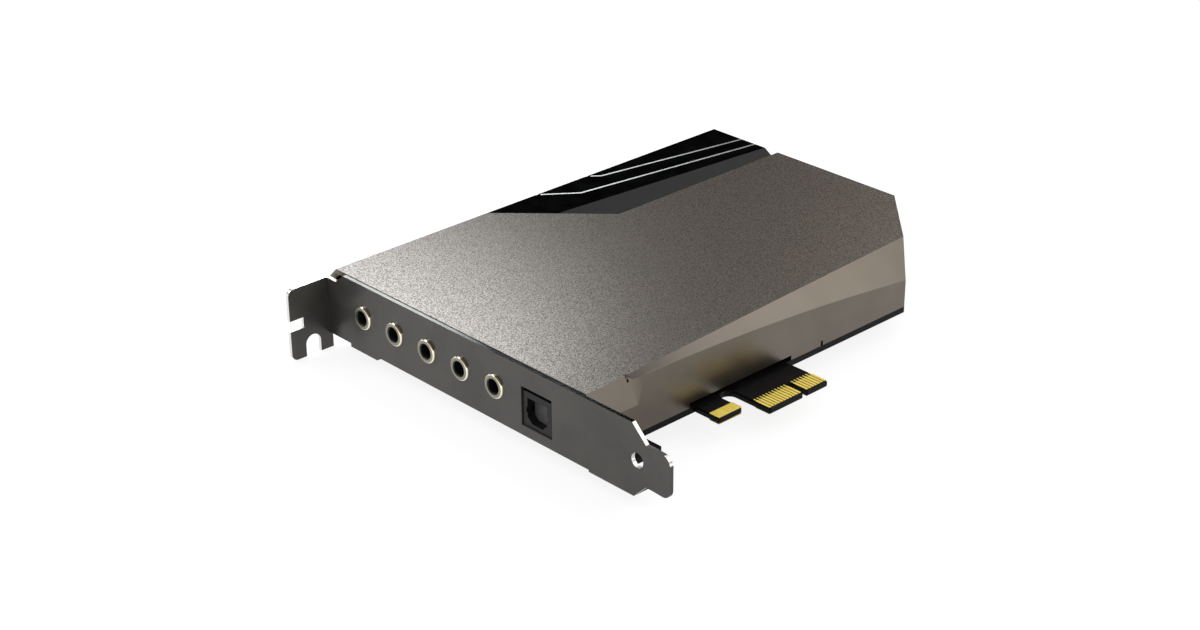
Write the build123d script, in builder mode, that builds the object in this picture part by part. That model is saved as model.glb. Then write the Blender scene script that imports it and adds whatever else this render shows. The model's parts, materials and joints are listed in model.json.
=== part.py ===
# A full-height sound card with a one-lane contact edge: a folded steel bracket with five audio
# jacks and a shuttered optical port, a circuit board, and a faceted metal cover with a gloss corner.
# The origin is the middle of the key slot, at the contact edge, on the component face of the board.
# +X runs from the bracket to the far end, +Y from the contact edge to the bracket's tab, and +Z
# away from the component face. All sizes are in millimetres.

import os
from math import cos, radians, sin, sqrt
from build123d import *

os.makedirs("parts", exist_ok=True)

# Bracket: one folded sheet
key_to_face = 57.15  # key slot to the plate's outer face
contact_to_tab = 106.3  # contact edge to the tab's upper face
sheet = 1.0
plate_below_board = 3.7  # component face of the board down to the plate's lower edge
plate_width = 18.42
bracket_length = 119.7  # tab's upper face to the tongue's tip
shoulder_length = 4.6  # low stretch of the plate's upper edge beside the tab
shoulder_run = 3.2  # slope from that stretch up to the full width
shoulder_drop = 2.54
taper_start = 107.95  # tab's upper face to where the plate narrows
taper_run = 4.2
tongue_inset = 4.1  # plate edge to tongue edge, on both sides
tongue_corner = 2.2
tongue_bend_start = 114.0  # tab's upper face to the tongue's bend
tongue_bend = 3.0  # degrees, away from the board
edge_step = 0.95  # raised stretches of the plate's lower edge
near_step = (9.45, 19.6)  # full-depth stretch of the lower edge near the tab
step_slope = 1.6
lug_start = 94.2  # full-depth stretch near the tongue, which carries the lug
lug_reach = 8.0
lug_bend_radius = 0.8
lug_screw_place = (5.6, 97.6)  # from the plate's outer face, and from the tab's upper face
lug_collar_radius = 2.5
plate_hole_radius = 1.8
plate_hole_place = (109.5, 9.7)  # from the tab's upper face, and above the plate's lower edge
tab_reach = 11.6
tab_width = 19.05
tab_overhang = 3.17  # tab past the plate's lower edge
tab_corner = 1.8
tab_notch_depth = 4.0
tab_notch_height = 2.8
tab_notch_above = 6.2  # notch centre above the plate's lower edge
tab_slot_width = 4.42
tab_slot_out = 5.05  # slot centre out from the plate's outer face
tab_slot_top = 2.1  # slot's closed end above the plate's lower edge
bend_inner_radius = 0.5

# Circuit board
board_thickness = 1.6
board_gap = 0.5  # bracket plate to the board's edge
face_to_far_edge = 133.57  # plate's outer face to the far edge of the board and cover
contact_to_edge = 12.9  # contact edge to the board's long edge
corner_cut = 25.6
ear_reach = 15.4  # plate's outer face to the ear's end
ear_inset = 5.0  # contact edge to the ear's edge
tongue_left = 11.9  # key slot's middle to the contact tongue's left end
tongue_right = 7.9
key_width = 1.9
key_depth = 5.6
tongue_slot_width = 3.85  # slot between the contact tongue and the retention tab
tongue_slot_end = 12.9  # contact edge to the slot's round end
retention_width = 7.7
retention_inset = 5.0  # contact edge to the retention tab's tip
contact_bevel = 0.35
tip_corner = 0.6  # round of the tongue's and the retention tab's corners

# Edge contacts
contact_pitch = 1.0
contact_width = 0.7
contact_length = 4.2
contact_inset = 0.5  # contact edge to the tip of each contact
contact_plate = 0.08
tail_width = 0.35  # bare stretch of the trace behind each contact
tail_length = 1.0
contacts_left = 11
contacts_right = 7
pad_border = 0.1
pad_length = 3.1

# Cover and its corner insert
cover_gap = 0.8  # bracket plate to the cover's open front
cover_wall = 1.2
cover_headroom = 0.96  # above the jacks, which are the tallest parts
cover_chamfer = 2.7  # along the edge beside the tab
insert_start = 47.4  # plate's outer face to where the insert starts on that edge
insert_width = 26.7  # cover's outer edge to the insert's long boundary
insert_gap = 0.35
insert_wall = 1.6
insert_bevel_start = 15.5  # cover's outer edge to the sloped edge's upper line, at the slanted side
insert_bevel_end = 22.0  # the same at the far end
insert_bevel_angle = 32.0
facet_start = 14.1  # plate's outer face to where the long side facet starts
facet_edge_start = 2.2  # long wall to the top edge of the facet, at its start
facet_edge_end = 7.3  # the same at the corner cut
facet_drop_start = 0.2  # top face down to the facet's lower edge, at its start
facet_drop_middle = 2.6
facet_drop_end = 8.3
facet_sink = 1.3  # how far the inside of a facet lies below its outside, in walls
cutter_reach = 6.0
front_facet_edge = 1.75  # long wall to the top edge of the small facet by the bracket
front_facet_drop = 7.2  # top face down to that facet's lower edge
front_facet_slant = 1.9  # how much further that lower edge runs than the upper one
front_facet_overhang = 1.15  # how far the long wall's top edge overhangs that facet's end
edge_cut_side = 1.4  # cut-out over the contact edge, past the neck of the board
edge_cut_height = 1.25
slit_place = 77.3  # plate's outer face to the small slit in the long wall
slit_width = 0.7
slit_height = 1.3
relief_width = 0.45  # bend relief between the two facets
relief_depth = 1.5
relief_reach = 0.7  # how far it runs in past the small facet's top edge
boss_radius = 2.6
boss_hole_depth = 6.0
boss_places = ((30.0, 8.0), (20.0, 85.0), (104.0, 81.0), (125.0, 35.0))  # from plate face, from tab
boss_screw_radius = 1.25
boss_head_radius = 2.4
boss_head_height = 1.4
screw_clearance = 0.05
hole_clearance = 0.25
drive_radius = 0.9
drive_depth = 0.7

# Light guides, let into the insert's top
guide_width = 0.6
guide_depth = 0.8
guide_clearance = 0.05
guide_starts = (19.9, 37.7)  # insert's start to the start of each guide, along the outer edge
guide_runs = (9.0, 2.9)  # slanted first stretch of each, along X
guide_turns = (9.75, 5.15)  # cover's outer edge to each guide's turn
guide_ends = (18.25, 13.25)  # cover's outer edge to each guide at the far end
guide_runout = 0.9  # how far each groove runs out over the chamfer

# Audio jacks
jack_count = 5
jack_pitch = 12.03
tab_to_first_jack = 15.19  # tab's upper face to the first jack's axis
jack_above_board = 6.2
jack_bore_radius = 1.8
ferrule_flange = 0.5  # how far the ring stands out past the sleeve
ferrule_proud = 0.7
ferrule_round = 0.3
ferrule_mouth = 0.25
sleeve_radius = 2.55
sleeve_length = 3.5
sleeve_clearance = 0.05
jack_spacing = 0.82  # between neighbouring bodies
jack_depth = 14.2
jack_height = 12.2
jack_cavity_radius = 2.3
jack_back_wall = 1.2
jack_edge = 0.5
spring_slot_width = 1.8
spring_slot_rise = 1.5  # slot above the jack's cavity
spring_strip = 0.25
spring_width = 1.2
spring_dip = 0.9
spring_flat = 5.2  # straight stretch at the back of the strip
spring_tip = 2.6  # front end of the strip to the bottom of its dip

# Optical port
port_from_jack = 13.87  # last jack to the port's middle
port_width = 9.4
port_height = 8.7
port_depth = 12.6
port_recess = 0.35  # plate's outer face to the port's face
plate_clearance = 0.2  # round what passes through the plate
port_gap_above = 1.0  # port to its cut-out in the plate
port_gap_beside = 0.5  # the same on the side of the contact edge
port_front_wall = 2.0
mouth_width = 6.5
mouth_low = 0.95
mouth_height = 6.25
mouth_chamfer = 1.5
mouth_key_height = 1.4
mouth_key_depth = 0.4
port_side = 1.0
port_floor = 0.45
port_roof = 0.6
cavity_depth = 8.7
shutter_clearance = 0.3
shutter_thickness = 0.6
shutter_headroom = 0.3  # above the knuckle
knuckle_radius = 0.6
trunnion_radius = 0.5
trunnion_clearance = 0.06
trunnion_seat = 0.5
spring_wire = 0.25
wire_sides = 6
spring_turns = 3
spring_core_radius = 0.3
spring_leg = 2.6
transmitter_lens_radius = 1.4
transmitter_lens_length = 1.0

# Parts on the board
part_gap = 2.0
relay_size = (6.5, 10.0, 5.2)
relay_count = 3
relay_lead_spread = (4.4, 3.3)
op_amp_body = (3.9, 4.9, 1.5)
op_amp_span = 6.0
op_amp_columns = 2
op_amp_rows = 4
op_amp_leads = 4  # on each side
lead_width = 0.45
lead_pitch = 1.27
lead_thickness = 0.25
standoff = 0.15
film_size = (7.2, 4.5, 7.0)
film_columns = 2
film_rows = 3
film_lead_spread = 5.0
film_edge = 0.4
headphone_size = 6.4
headphone_height = 0.9
can_radius = 3.15
can_height = 9.0
can_round = 0.4
can_columns = 6
can_rows = 2
can_lead_spread = 2.5
tall_can_radius = 4.0
tall_can_height = 11.0
tall_can_count = 3
tall_can_lead_spread = 3.5
processor_size = 14.0
processor_height = 1.3
processor_from_edge = 24.0
converter_size = 10.0
converter_height = 1.2
input_converter_size = (7.2, 7.8, 1.4)
memory_size = (6.0, 5.0, 1.6)
crystal_size = (5.0, 3.2, 1.1)
regulator_body = (6.5, 6.1, 2.3)
regulator_tab = (5.5, 3.4, 0.5)
regulator_count = 3
inductor_size = 7.0
inductor_height = 3.2
inductor_corner = 1.2
inductor_columns = 2
inductor_rows = 2
chip_edge = 0.2
chip_size = (1.6, 0.8, 0.45)
chip_capacitor_height = 0.8
chip_row_count = 4
chip_row_pitch = 3.5
diode_size = (2.8, 3.2, 1.8)
diode_shares = (0.15, 0.5, 0.85)  # places along each guide's long stretch
joint_radius = 0.75
joint_height = 1.0
joint_sides = 6
joint_tip_radius = 0.3
joint_rows = (4.5, 11.0)  # back from the plate, under each jack
jack_lead_spread = 7.4
port_joint_row = 11.4  # back from the port's face
port_lead_pitch = 2.4
port_lead_count = 3

# Places that follow from the sizes above
face_x = -key_to_face
inner_x = face_x + sheet
tab_y = contact_to_tab
plate_low = -plate_below_board
plate_top = plate_low + plate_width
tab_low = plate_low - tab_overhang
shoulder_z = plate_top - shoulder_drop
board_x = inner_x + board_gap
far_x = face_x + face_to_far_edge
edge_y = contact_to_edge
solder_z = -board_thickness
cover_x = inner_x + cover_gap
cover_height = jack_height + cover_headroom + cover_wall
neck_left = -tongue_left - tongue_slot_width - retention_width
jack_places = [tab_y - tab_to_first_jack - index * jack_pitch for index in range(jack_count)]
jack_z = jack_above_board
jack_width = jack_pitch - jack_spacing
ferrule_radius = sleeve_radius + ferrule_flange
port_y = jack_places[-1] - port_from_jack
port_x = face_x + port_recess
boss_spots = [(face_x + along, tab_y - across) for along, across in boss_places]
lug_screw = (face_x + lug_screw_place[0], tab_y - lug_screw_place[1])
boundary_y = tab_y - insert_width
boundary_x = face_x + insert_start + insert_width


# Bracket: plate, tab with its screw slot, bent tongue and the lug under the board's ear
with BuildPart() as bracket:
    taper_y = tab_y - taper_start
    neck_y = taper_y - taper_run
    bend_y = tab_y - tongue_bend_start
    step_z = plate_low + edge_step
    with BuildSketch(Plane.YZ.offset(face_x)):
        with BuildLine():
            Polyline(
                (tab_y, step_z),
                (tab_y, shoulder_z),
                (tab_y - shoulder_length, shoulder_z),
                (tab_y - shoulder_length - shoulder_run, plate_top),
                (taper_y, plate_top),
                (neck_y, plate_top - tongue_inset),
                (bend_y, plate_top - tongue_inset),
                (bend_y, plate_low + tongue_inset),
                (neck_y, plate_low + tongue_inset),
                (taper_y, plate_low),
                (tab_y - lug_start, plate_low),
                (tab_y - lug_start, step_z),
                (tab_y - near_step[1] - step_slope, step_z),
                (tab_y - near_step[1], plate_low),
                (tab_y - near_step[0], plate_low),
                (tab_y - near_step[0], step_z),
                close=True,
            )
        make_face()
    extrude(amount=sheet)

    # the tab is folded away from the board, with a square notch and an open screw slot
    tab_end = face_x - tab_reach
    with BuildSketch(Plane.XZ.offset(-tab_y)) as tab:
        with Locations(((tab_end + inner_x) / 2, tab_low + tab_width / 2)):
            Rectangle(inner_x - tab_end, tab_width)
        fillet(tab.vertices().group_by(Axis.X)[0], tab_corner)
        with Locations((tab_end, plate_low + tab_notch_above)):
            Rectangle(2 * tab_notch_depth, tab_notch_height, mode=Mode.SUBTRACT)
        slot_x = face_x - tab_slot_out
        slot_z = plate_low + tab_slot_top - tab_slot_width / 2
        with Locations((slot_x, slot_z)):
            Circle(tab_slot_width / 2, mode=Mode.SUBTRACT)
            Rectangle(
                tab_slot_width,
                slot_z - tab_low,
                align=(Align.CENTER, Align.MAX),
                mode=Mode.SUBTRACT,
            )
    extrude(amount=sheet)

    # the tongue's end leans away from the board, which leads it into its chassis slot
    lean = radians(tongue_bend)
    tongue_plane = Plane(
        origin=(inner_x, bend_y, 0),
        x_dir=(-sin(lean), -cos(lean), 0),
        z_dir=(-cos(lean), sin(lean), 0),
    )
    tip_length = bracket_length - tongue_bend_start
    with BuildSketch(tongue_plane) as tip:
        with Locations((tip_length / 2, (plate_low + plate_top) / 2)):
            Rectangle(tip_length, plate_width - 2 * tongue_inset)
        fillet(tip.vertices().group_by(Axis.X)[-1], tongue_corner)
    extrude(amount=sheet)

    # the lug is folded under the board's ear and carries a tapped collar
    lug_width = taper_start - lug_start
    with BuildSketch(Plane.XY.offset(plate_low)):
        with Locations((face_x + lug_reach / 2, taper_y + lug_width / 2)):
            Rectangle(lug_reach, lug_width)
    extrude(amount=sheet)
    with BuildSketch(Plane.XY.offset(plate_low)):
        with Locations(lug_screw):
            Circle(lug_collar_radius)
    extrude(amount=plate_below_board - board_thickness)
    with BuildSketch(Plane.XY.offset(plate_low)):
        with Locations(lug_screw):
            Circle(boss_screw_radius + screw_clearance)
    extrude(amount=plate_below_board, mode=Mode.SUBTRACT)

    lug_middle = (face_x, taper_y + lug_width / 2, plate_low)
    fillet(bracket.edges().filter_by(Axis.Y).sort_by_distance(lug_middle)[0], lug_bend_radius)
    inside_bend = (face_x, tab_y - sheet, plate_low + plate_width / 2)
    fillet(bracket.edges().filter_by(Axis.Z).sort_by_distance(inside_bend)[0], bend_inner_radius)
    outside_bend = (inner_x, tab_y, plate_low + plate_width / 2)
    fillet(
        bracket.edges().filter_by(Axis.Z).sort_by_distance(outside_bend)[0],
        bend_inner_radius + sheet,
    )

    # holes for the jacks' sleeves, the port and the small round hole beside the tongue
    with BuildSketch(Plane.YZ.offset(face_x)):
        with Locations(*[(jack_y, jack_z) for jack_y in jack_places]):
            Circle(sleeve_radius + plate_clearance)
        with Locations((port_y - port_width / 2 - port_gap_beside, -plate_clearance)):
            Rectangle(
                port_gap_beside + port_width + plate_clearance,
                plate_clearance + port_height + port_gap_above,
                align=(Align.MIN, Align.MIN),
            )
        with Locations((tab_y - plate_hole_place[0], plate_low + plate_hole_place[1])):
            Circle(plate_hole_radius)
    extrude(amount=sheet, mode=Mode.SUBTRACT)
bracket.part.label = "bracket"
export_step(bracket.part, "parts/bracket.step")


# Circuit board: outline with the ear, the cut corner, the retention tab and the contact tongue
with BuildPart() as circuit_board:
    slot_left = -tongue_left - tongue_slot_width
    slot_middle = -tongue_left - tongue_slot_width / 2
    slot_round = tongue_slot_end - tongue_slot_width / 2
    with BuildSketch(Plane.XY.offset(solder_z)) as board_plan:
        with BuildLine():
            Polyline(
                (-tongue_left, slot_round),
                (-tongue_left, 0),
                (tongue_right, 0),
                (tongue_right, edge_y),
                (far_x - corner_cut, edge_y),
                (far_x, edge_y + corner_cut),
                (far_x, tab_y),
                (board_x, tab_y),
                (board_x, ear_inset),
                (face_x + ear_reach, ear_inset),
                (face_x + ear_reach, edge_y),
                (neck_left, edge_y),
                (neck_left, retention_inset),
                (slot_left, retention_inset),
                (slot_left, slot_round),
            )
            ThreePointArc(
                (slot_left, slot_round),
                (slot_middle, tongue_slot_end),
                (-tongue_left, slot_round),
            )
        make_face()
        contact_side = board_plan.vertices().filter_by_position(Axis.X, neck_left, tongue_right)
        fillet(contact_side.filter_by_position(Axis.Y, 0, retention_inset), tip_corner)
        with Locations((0, key_depth - key_width / 2)):
            Circle(key_width / 2, mode=Mode.SUBTRACT)
            Rectangle(key_width, key_depth, align=(Align.CENTER, Align.MAX), mode=Mode.SUBTRACT)
        with Locations(*boss_spots, lug_screw):
            Circle(boss_screw_radius + hole_clearance, mode=Mode.SUBTRACT)
    extrude(amount=board_thickness)
    chamfer(circuit_board.faces().sort_by(Axis.Y)[:2].edges().filter_by(Axis.X), contact_bevel)
circuit_board.part.label = "circuit_board"
export_step(circuit_board.part, "parts/circuit_board.step")


# Edge contacts: gold fingers on both faces of the tongue, and the pad on the retention tab
with BuildPart() as edge_contacts:
    finger_y = contact_inset + contact_length / 2
    left_first = -key_width / 2 - contact_pitch / 2 + (contact_pitch - contact_width) / 2
    finger_places = [(left_first - index * contact_pitch, finger_y) for index in range(contacts_left)]
    finger_places += [
        (index * contact_pitch - left_first, finger_y) for index in range(contacts_right)
    ]
    tail_places = [(x, contact_inset + contact_length) for x, y in finger_places]
    pad_y = retention_inset + pad_border + pad_length / 2
    for face_z in (0, solder_z - contact_plate):
        with BuildSketch(Plane.XY.offset(face_z)):
            with Locations(*finger_places):
                Rectangle(contact_width, contact_length)
            with Locations(*tail_places):
                Rectangle(tail_width, tail_length, align=(Align.CENTER, Align.MIN))
            with Locations((neck_left + retention_width / 2, pad_y)):
                Rectangle(retention_width - 2 * pad_border, pad_length)
        extrude(amount=contact_plate)
edge_contacts.part.label = "edge_contacts"
export_step(edge_contacts.part, "parts/edge_contacts.step")


# Long edge of a shell's top on the side of the tab, which is chamfered
def outer_top_edge(shell):
    return shell.edges().filter_by(Axis.X).sort_by(lambda edge: edge.center().Y + edge.center().Z)[-1]


# Cover: the outline that the metal shell follows, open towards the bracket
def cover_outline(front):
    return (
        (front, tab_y),
        (face_x + insert_start, tab_y),
        (boundary_x, boundary_y),
        (far_x, boundary_y),
        (far_x, edge_y + corner_cut),
        (far_x - corner_cut, edge_y),
        (front, edge_y),
    )


# Long side facet: it starts almost level by the bracket and leans more towards the far end
def side_facet(sink):
    start_x = face_x + facet_start
    end_x = far_x - corner_cut + facet_edge_end
    stations = (
        (start_x, facet_edge_start, facet_drop_start),
        ((start_x + end_x) / 2, (facet_edge_start + facet_edge_end) / 2, facet_drop_middle),
        (end_x, facet_edge_end, facet_drop_end),
    )
    with BuildPart() as cutter:
        for along, inset, drop in stations:
            slope = drop / inset
            top_z = cover_height - sink
            with BuildSketch(Plane.YZ.offset(along)):
                with BuildLine():
                    Polyline(
                        (edge_y + inset + cutter_reach, top_z + slope * cutter_reach),
                        (edge_y + inset, top_z),
                        (edge_y - cutter_reach, top_z - drop - slope * cutter_reach),
                        (edge_y - cutter_reach, top_z + slope * cutter_reach + cutter_reach),
                        close=True,
                    )
                make_face()
        loft()
    return cutter.part


# Plane in which the small facet beside the bracket ends, slanted in under the long wall
def front_facet_end():
    top_corner = Vector(face_x + facet_start, edge_y + front_facet_edge, cover_height)
    inwards = Vector(front_facet_overhang, front_facet_edge, 0)
    downwards = Vector(front_facet_slant, -front_facet_edge, -front_facet_drop)
    return Plane(origin=top_corner, x_dir=inwards, z_dir=downwards.cross(inwards))


# Small facet beside the bracket, from the cover's open front to where the long facet starts
def front_facet(sink):
    lean_in = front_facet_edge / front_facet_drop
    low_z = cover_height - front_facet_drop
    high_z = cover_height + cutter_reach
    high_y = edge_y + sink + lean_in * (front_facet_drop + cutter_reach)
    with BuildPart() as cutter:
        with BuildSketch(Plane.YZ.offset(face_x)):
            with BuildLine():
                Polyline(
                    (edge_y + sink, low_z),
                    (high_y, high_z),
                    (edge_y - cutter_reach, high_z),
                    (edge_y - cutter_reach, low_z),
                    close=True,
                )
            make_face()
        extrude(amount=facet_start + front_facet_slant + cutter_reach)
        split(bisect_by=front_facet_end().offset(sink), keep=Keep.BOTTOM)
    return cutter.part


# Space inside the cover, which follows the shell's outside at the thickness of its wall
with BuildPart() as cover_space:
    with BuildSketch():
        with BuildLine():
            Polyline(*cover_outline(cover_x - 2 * cover_wall), close=True)
        make_face()
        offset(amount=-cover_wall, kind=Kind.INTERSECTION)
    extrude(amount=cover_height - cover_wall)
    chamfer(outer_top_edge(cover_space), cover_chamfer)
    add(side_facet(cover_wall * facet_sink), mode=Mode.SUBTRACT)
    add(front_facet(cover_wall), mode=Mode.SUBTRACT)

# Cover: the shell itself, with its facets, screw bosses and the cut-outs along its long wall
with BuildPart() as cover:
    with BuildSketch():
        with BuildLine():
            Polyline(*cover_outline(cover_x), close=True)
        make_face()
    extrude(amount=cover_height)
    chamfer(outer_top_edge(cover), cover_chamfer)
    add(side_facet(0), mode=Mode.SUBTRACT)
    add(front_facet(0), mode=Mode.SUBTRACT)
    add(cover_space.part, mode=Mode.SUBTRACT)
    with BuildSketch():
        with Locations(*boss_spots):
            Circle(boss_radius)
    extrude(amount=cover_height - cover_wall / 2)
    with BuildSketch():
        with Locations(*boss_spots):
            Circle(boss_screw_radius + screw_clearance)
    extrude(amount=boss_hole_depth, mode=Mode.SUBTRACT)
    cut_left = neck_left - edge_cut_side
    cut_right = tongue_right + edge_cut_side
    with BuildSketch(Plane.XZ.offset(-edge_y - cover_wall)):
        with Locations(((cut_left + cut_right) / 2, 0)):
            Rectangle(cut_right - cut_left, 2 * edge_cut_height)
        with Locations((face_x + slit_place, 0)):
            Rectangle(slit_width, 2 * slit_height)
    extrude(amount=2 * cover_wall, mode=Mode.SUBTRACT)
    with BuildSketch(front_facet_end()):
        with Locations((relief_reach, 0)):
            Rectangle(cutter_reach, 2 * relief_depth, align=(Align.MAX, Align.CENTER))
    extrude(amount=-relief_width, mode=Mode.SUBTRACT)
cover.part.label = "cover"
export_step(cover.part, "parts/cover.step")


# Corner insert: outline of the gloss shell that closes the cover's outer corner
slanted_gap = insert_gap * sqrt(2)
insert_outline = (
    (face_x + insert_start + slanted_gap, tab_y),
    (boundary_x + slanted_gap - insert_gap, boundary_y + insert_gap),
    (far_x, boundary_y + insert_gap),
    (far_x, tab_y),
)

# The sloped edge of the insert falls away from a line across its top, towards the cover
bevel_from = Vector(face_x + insert_start + insert_bevel_start, tab_y - insert_bevel_start, cover_height)
bevel_to = Vector(far_x, tab_y - insert_bevel_end, cover_height)
bevel_out = (bevel_to - bevel_from).cross(Vector(0, 0, 1)).normalized()
bevel_lean = radians(insert_bevel_angle)
bevel_normal = bevel_out * sin(bevel_lean) + Vector(0, 0, cos(bevel_lean))
bevel_plane = Plane(origin=bevel_from, z_dir=bevel_normal)


# Route of one light guide over the insert's top: a slanted stretch from the outer edge, which can
# start earlier or later on the same line, and a long stretch to the far end
def guide_route(index, start_shift):
    start_x = face_x + insert_start + guide_starts[index]
    depth = guide_turns[index] - cover_chamfer
    return (
        (start_x + start_shift * guide_runs[index] / depth, tab_y - cover_chamfer - start_shift),
        (start_x + guide_runs[index], tab_y - guide_turns[index]),
        (far_x, tab_y - guide_ends[index]),
    )


# Space inside the insert
with BuildPart() as insert_space:
    with BuildSketch():
        with BuildLine():
            Polyline(*insert_outline, close=True)
        make_face()
        offset(amount=-insert_wall, kind=Kind.INTERSECTION)
    extrude(amount=cover_height - insert_wall)
    chamfer(outer_top_edge(insert_space), cover_chamfer)
    split(bisect_by=bevel_plane.offset(-insert_wall), keep=Keep.BOTTOM)

# Corner insert: the shell, with its sloped edge and the grooves for the guides
with BuildPart() as corner_insert:
    with BuildSketch():
        with BuildLine():
            Polyline(*insert_outline, close=True)
        make_face()
    extrude(amount=cover_height)
    chamfer(outer_top_edge(corner_insert), cover_chamfer)
    split(bisect_by=bevel_plane, keep=Keep.BOTTOM)
    add(insert_space.part, mode=Mode.SUBTRACT)
    for index in range(len(guide_starts)):
        with BuildSketch(Plane.XY.offset(cover_height - guide_depth)):
            with BuildLine():
                Polyline(*guide_route(index, -guide_runout))
            trace(line_width=guide_width + 2 * guide_clearance)
    extrude(amount=guide_depth, mode=Mode.SUBTRACT)
corner_insert.part.label = "corner_insert"
export_step(corner_insert.part, "parts/corner_insert.step")

# Light guides: milky strips that carry light to the insert's top
for index, guide_name in enumerate(("light_guide_long", "light_guide_short")):
    with BuildPart() as light_guide:
        with BuildSketch(Plane.XY.offset(cover_height - guide_depth)):
            with BuildLine():
                Polyline(*guide_route(index, guide_width))
            trace(line_width=guide_width)
        extrude(amount=guide_depth - guide_clearance)
    light_guide.part.label = guide_name
    export_step(light_guide.part, f"parts/{guide_name}.step")


# Screws: pan heads with a six-sided drive, four for the cover and one for the bracket's lug
def screw(spot, seat_z, shank):
    head_way = -1 if shank > 0 else 1
    with BuildPart() as fastener:
        with BuildSketch(Plane.XY.offset(seat_z)):
            with Locations(spot):
                Circle(boss_screw_radius)
        extrude(amount=shank)
        with BuildSketch(Plane.XY.offset(seat_z)):
            with Locations(spot):
                Circle(boss_head_radius)
        extrude(amount=head_way * boss_head_height)
        with BuildSketch(Plane.XY.offset(seat_z + head_way * boss_head_height)):
            with Locations(spot):
                RegularPolygon(drive_radius, 6)
        extrude(amount=-head_way * drive_depth, mode=Mode.SUBTRACT)
    return fastener.part


with BuildPart() as cover_screws:
    for spot in boss_spots:
        add(screw(spot, solder_z, board_thickness + boss_hole_depth - drive_depth))
cover_screws.part.label = "cover_screws"
export_step(cover_screws.part, "parts/cover_screws.step")

with BuildPart() as bracket_screw:
    add(screw(lug_screw, 0, -plate_below_board))
bracket_screw.part.label = "bracket_screw"
export_step(bracket_screw.part, "parts/bracket_screw.step")


# Jacks: a gold ferrule that clamps the plate, and a moulded body on the board behind it
cavity_end = inner_x + jack_depth - jack_back_wall
spring_start = face_x + sleeve_length + sleeve_clearance
for index, jack_y in enumerate(jack_places):
    jack_axis = Axis((face_x, jack_y, jack_z), (1, 0, 0))
    half_section = Plane(origin=(face_x, jack_y, jack_z), x_dir=(1, 0, 0), z_dir=(0, -1, 0))
    with BuildPart() as jack_ferrule:
        with BuildSketch(half_section) as ring:
            with BuildLine():
                Polyline(
                    (-ferrule_proud, jack_bore_radius),
                    (-ferrule_proud, ferrule_radius),
                    (0, ferrule_radius),
                    (0, sleeve_radius),
                    (sleeve_length, sleeve_radius),
                    (sleeve_length, jack_bore_radius),
                    close=True,
                )
            make_face()
            front = ring.vertices().group_by(Axis.X)[0].sort_by(Axis.Y)
            fillet(front[-1], ferrule_round)
            chamfer(ring.vertices().group_by(Axis.X)[0].sort_by(Axis.Y)[0], ferrule_mouth)
        revolve(axis=jack_axis)
    jack_ferrule.part.label = f"jack_ferrule_{index + 1}"
    export_step(jack_ferrule.part, f"parts/jack_ferrule_{index + 1}.step")

    with BuildPart() as jack_body:
        with BuildSketch():
            with Locations((inner_x + jack_depth / 2, jack_y)):
                Rectangle(jack_depth, jack_width)
        extrude(amount=jack_height)
        chamfer(jack_body.faces().sort_by(Axis.Z)[-1].edges(), jack_edge)
        with BuildSketch(Plane.YZ.offset(inner_x)):
            with Locations((jack_y, jack_z)):
                Circle(jack_cavity_radius)
            with Locations((jack_y, jack_z)):
                Rectangle(
                    spring_slot_width,
                    jack_cavity_radius + spring_slot_rise,
                    align=(Align.CENTER, Align.MIN),
                )
        extrude(amount=cavity_end - inner_x, mode=Mode.SUBTRACT)
        with BuildSketch(Plane.YZ.offset(inner_x)):
            with Locations((jack_y, jack_z)):
                Circle(sleeve_radius + sleeve_clearance)
        extrude(amount=sleeve_length + sleeve_clearance - sheet, mode=Mode.SUBTRACT)
    jack_body.part.label = f"jack_body_{index + 1}"
    export_step(jack_body.part, f"parts/jack_body_{index + 1}.step")

# Contact springs: one bent strip in the slot above each jack's cavity
with BuildPart() as jack_contacts:
    strip_top = jack_z + jack_cavity_radius + spring_slot_rise
    strip_under = strip_top - spring_strip
    dip_x = spring_start + spring_tip
    flat_x = cavity_end - spring_flat
    for jack_y in jack_places:
        with BuildSketch(Plane.XZ.offset(-jack_y - spring_width / 2)):
            with BuildLine():
                Polyline(
                    (cavity_end, strip_top),
                    (cavity_end, strip_under),
                    (flat_x, strip_under),
                    (dip_x, strip_under - spring_dip),
                    (spring_start + spring_strip, strip_under),
                    (spring_start + spring_strip, strip_top),
                    (dip_x, strip_top - spring_dip),
                    (flat_x, strip_top),
                    close=True,
                )
            make_face()
    extrude(amount=spring_width)
jack_contacts.part.label = "jack_contacts"
export_step(jack_contacts.part, "parts/jack_contacts.step")


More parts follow.
